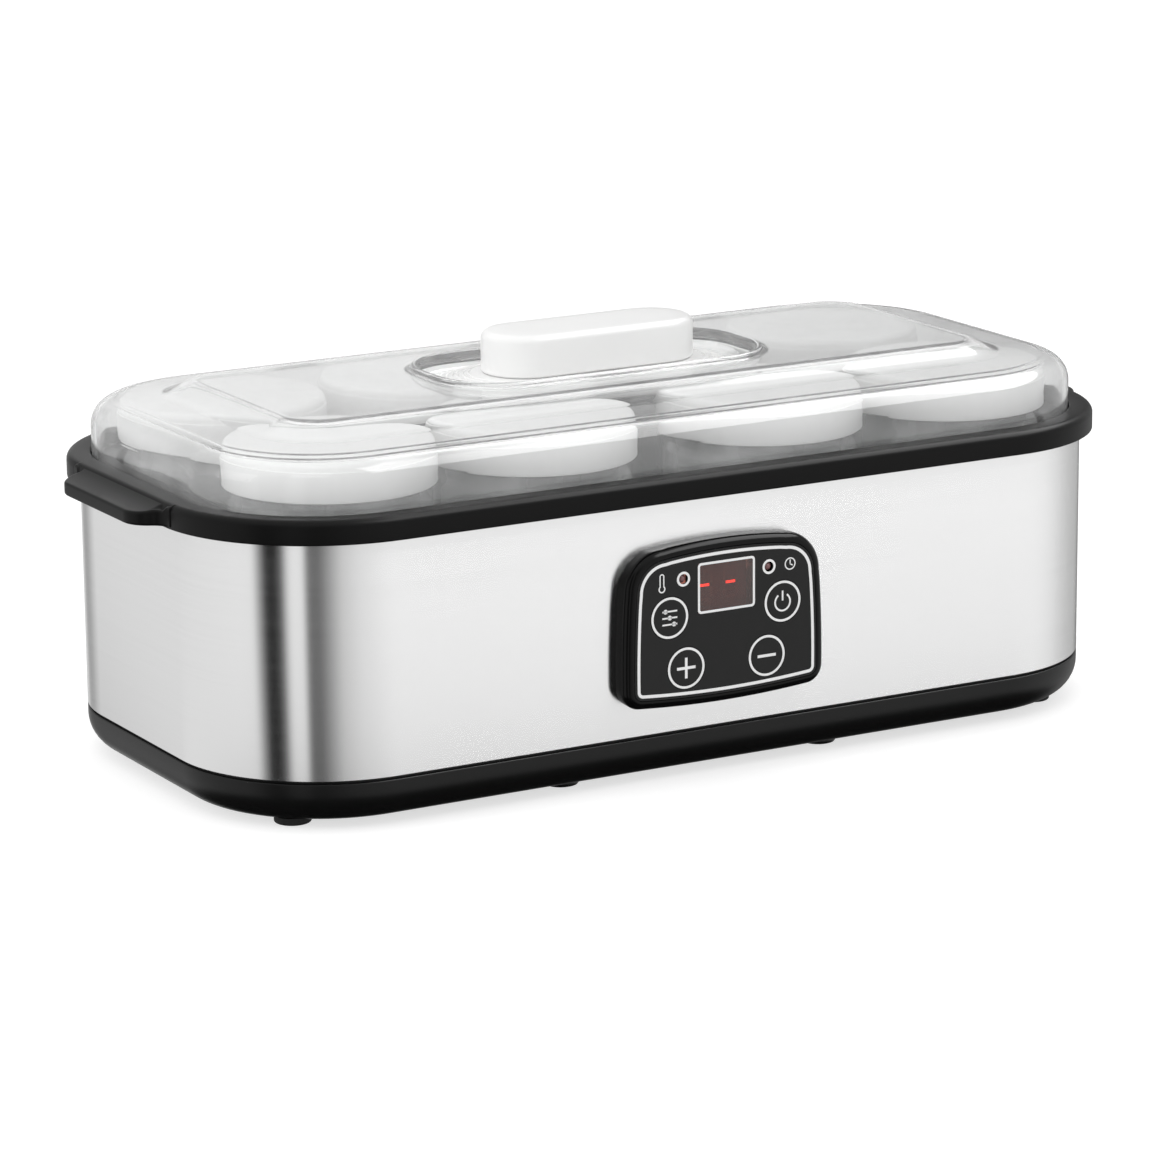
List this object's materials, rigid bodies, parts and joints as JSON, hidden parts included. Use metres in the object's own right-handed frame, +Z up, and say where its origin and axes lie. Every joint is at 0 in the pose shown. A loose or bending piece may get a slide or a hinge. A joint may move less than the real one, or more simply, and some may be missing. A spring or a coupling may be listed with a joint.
{
  "type": "yogurt maker",
  "caption": "Electric yogurt maker: steel-clad oblong base with end handles and a push-button panel, capped glass jars in a tub, and a clear lift-off lid with a white knob.",
  "frame": {"origin": "on the table, under the middle of the housing", "axes": "+X to the right along the long side, +Y to the back, +Z up; the control panel faces -Y"},
  "size_m": [0.368, 0.1799, 0.1396],
  "materials": {
    "black_plastic": "fine satin grain, black",
    "foot_rubber": "matt black rubber",
    "screw_steel": "zinc plated screws",
    "brushed_steel": "stainless sheet, brushed lengthways",
    "tub_plastic": "smooth black plastic",
    "heater_aluminium": "plain sheet",
    "heater_wire": "silicone covered heating wire",
    "sensor_body": "potted sensor",
    "fuse_ceramic": "thermal fuse body",
    "gloss_black": "polished black",
    "panel_face": "satin black face with white rings",
    "display_lens": "dark red window",
    "display_body": "display block",
    "circuit_board": "solder mask green",
    "switch_plastic": "switch housing",
    "lamp_plastic": "milky lamp",
    "cable_grey": "grey flat cable",
    "transformer_core": "varnished core",
    "capacitor_sleeve": "shrink sleeve",
    "relay_case": "blue case",
    "lead_insulation": "silicone lead",
    "clear_plastic": "clear moulded plastic",
    "white_plastic": "white, softly polished",
    "jar_glass": "clear pressed glass"
  },
  "bodies": {
    "housing": {"base_pan": "black_plastic", "foot_front_left": "foot_rubber", "foot_front_right": "foot_rubber", "foot_rear_left": "foot_rubber", "foot_rear_right": "foot_rubber", "base_screws": "screw_steel", "steel_sleeve": "brushed_steel", "rim_collar": "black_plastic", "inner_tub": "tub_plastic", "heater_plate": "heater_aluminium", "heating_element": "heater_wire", "temperature_sensor": "sensor_body", "sensor_clip": "heater_aluminium", "thermal_fuse": "fuse_ceramic", "panel_bezel": "gloss_black", "panel_overlay": "panel_face", "display_window": "display_lens", "display_module": "display_body", "control_board": "circuit_board", "tact_switches": "switch_plastic", "temp_led": "lamp_plastic", "time_led": "lamp_plastic", "panel_screws": "screw_steel", "ribbon_cable": "cable_grey", "power_board": "circuit_board", "transformer": "transformer_core", "filter_capacitor": "capacitor_sleeve", "relay": "relay_case", "board_screws": "screw_steel", "heater_leads": "lead_insulation", "cord_gland": "foot_rubber"},
    "lid": {"lid_shell": "clear_plastic", "lid_knob": "white_plastic", "knob_plate": "white_plastic", "knob_screws": "screw_steel"},
    "mode_button": {"mode_button": "panel_face"},
    "start_button": {"start_button": "panel_face"},
    "plus_button": {"plus_button": "panel_face"},
    "minus_button": {"minus_button": "panel_face"},
    "jar_1": {"jar_1": "jar_glass"},
    "jar_cap_1": {"jar_cap_1": "white_plastic"},
    "jar_2": {"jar_2": "jar_glass"},
    "jar_cap_2": {"jar_cap_2": "white_plastic"},
    "jar_3": {"jar_3": "jar_glass"},
    "jar_cap_3": {"jar_cap_3": "white_plastic"},
    "jar_4": {"jar_4": "jar_glass"},
    "jar_cap_4": {"jar_cap_4": "white_plastic"},
    "jar_5": {"jar_5": "jar_glass"},
    "jar_cap_5": {"jar_cap_5": "white_plastic"},
    "jar_6": {"jar_6": "jar_glass"},
    "jar_cap_6": {"jar_cap_6": "white_plastic"},
    "jar_7": {"jar_7": "jar_glass"},
    "jar_cap_7": {"jar_cap_7": "white_plastic"},
    "jar_8": {"jar_8": "jar_glass"},
    "jar_cap_8": {"jar_cap_8": "white_plastic"}
  },
  "joints": [
    {"name": "lid_lift", "type": "slide", "parent": "housing", "child": "lid", "axis": [0, 0, 1], "range_m": [0, 0.24]},
    {"name": "jar_1_lift", "type": "slide", "parent": "housing", "child": "jar_1", "axis": [0, 0, 1], "range_m": [0, 0.1]},
    {"name": "jar_cap_1_lift", "type": "slide", "parent": "jar_1", "child": "jar_cap_1", "axis": [0, 0, 1], "range_m": [0, 0.03]},
    {"name": "jar_2_lift", "type": "slide", "parent": "housing", "child": "jar_2", "axis": [0, 0, 1], "range_m": [0, 0.1]},
    {"name": "jar_cap_2_lift", "type": "slide", "parent": "jar_2", "child": "jar_cap_2", "axis": [0, 0, 1], "range_m": [0, 0.03]},
    {"name": "jar_3_lift", "type": "slide", "parent": "housing", "child": "jar_3", "axis": [0, 0, 1], "range_m": [0, 0.1]},
    {"name": "jar_cap_3_lift", "type": "slide", "parent": "jar_3", "child": "jar_cap_3", "axis": [0, 0, 1], "range_m": [0, 0.03]},
    {"name": "jar_4_lift", "type": "slide", "parent": "housing", "child": "jar_4", "axis": [0, 0, 1], "range_m": [0, 0.1]},
    {"name": "jar_cap_4_lift", "type": "slide", "parent": "jar_4", "child": "jar_cap_4", "axis": [0, 0, 1], "range_m": [0, 0.03]},
    {"name": "jar_5_lift", "type": "slide", "parent": "housing", "child": "jar_5", "axis": [0, 0, 1], "range_m": [0, 0.1]},
    {"name": "jar_cap_5_lift", "type": "slide", "parent": "jar_5", "child": "jar_cap_5", "axis": [0, 0, 1], "range_m": [0, 0.03]},
    {"name": "jar_6_lift", "type": "slide", "parent": "housing", "child": "jar_6", "axis": [0, 0, 1], "range_m": [0, 0.1]},
    {"name": "jar_cap_6_lift", "type": "slide", "parent": "jar_6", "child": "jar_cap_6", "axis": [0, 0, 1], "range_m": [0, 0.03]},
    {"name": "jar_7_lift", "type": "slide", "parent": "housing", "child": "jar_7", "axis": [0, 0, 1], "range_m": [0, 0.1]},
    {"name": "jar_cap_7_lift", "type": "slide", "parent": "jar_7", "child": "jar_cap_7", "axis": [0, 0, 1], "range_m": [0, 0.03]},
    {"name": "jar_8_lift", "type": "slide", "parent": "housing", "child": "jar_8", "axis": [0, 0, 1], "range_m": [0, 0.1]},
    {"name": "jar_cap_8_lift", "type": "slide", "parent": "jar_8", "child": "jar_cap_8", "axis": [0, 0, 1], "range_m": [0, 0.03]},
    {"name": "mode_press", "type": "slide", "parent": "housing", "child": "mode_button", "axis": [0, 1, 0], "range_m": [0, 0.0005], "stiffness_N_per_m": 300},
    {"name": "start_press", "type": "slide", "parent": "housing", "child": "start_button", "axis": [0, 1, 0], "range_m": [0, 0.0005], "stiffness_N_per_m": 300},
    {"name": "plus_press", "type": "slide", "parent": "housing", "child": "plus_button", "axis": [0, 1, 0], "range_m": [0, 0.0005], "stiffness_N_per_m": 300},
    {"name": "minus_press", "type": "slide", "parent": "housing", "child": "minus_button", "axis": [0, 1, 0], "range_m": [0, 0.0005], "stiffness_N_per_m": 300}
  ],
  "couplings": [
    {"joint": "jar_1_lift", "follows": "lid_lift", "ratio": 0.41666},
    {"joint": "jar_cap_1_lift", "follows": "lid_lift", "ratio": 0.125},
    {"joint": "jar_2_lift", "follows": "lid_lift", "ratio": 0.41666},
    {"joint": "jar_cap_2_lift", "follows": "lid_lift", "ratio": 0.125},
    {"joint": "jar_3_lift", "follows": "lid_lift", "ratio": 0.41666},
    {"joint": "jar_cap_3_lift", "follows": "lid_lift", "ratio": 0.125},
    {"joint": "jar_4_lift", "follows": "lid_lift", "ratio": 0.41666},
    {"joint": "jar_cap_4_lift", "follows": "lid_lift", "ratio": 0.125},
    {"joint": "jar_5_lift", "follows": "lid_lift", "ratio": 0.41666},
    {"joint": "jar_cap_5_lift", "follows": "lid_lift", "ratio": 0.125},
    {"joint": "jar_6_lift", "follows": "lid_lift", "ratio": 0.41666},
    {"joint": "jar_cap_6_lift", "follows": "lid_lift", "ratio": 0.125},
    {"joint": "jar_7_lift", "follows": "lid_lift", "ratio": 0.41666},
    {"joint": "jar_cap_7_lift", "follows": "lid_lift", "ratio": 0.125},
    {"joint": "jar_8_lift", "follows": "lid_lift", "ratio": 0.41666},
    {"joint": "jar_cap_8_lift", "follows": "lid_lift", "ratio": 0.125}
  ]
}
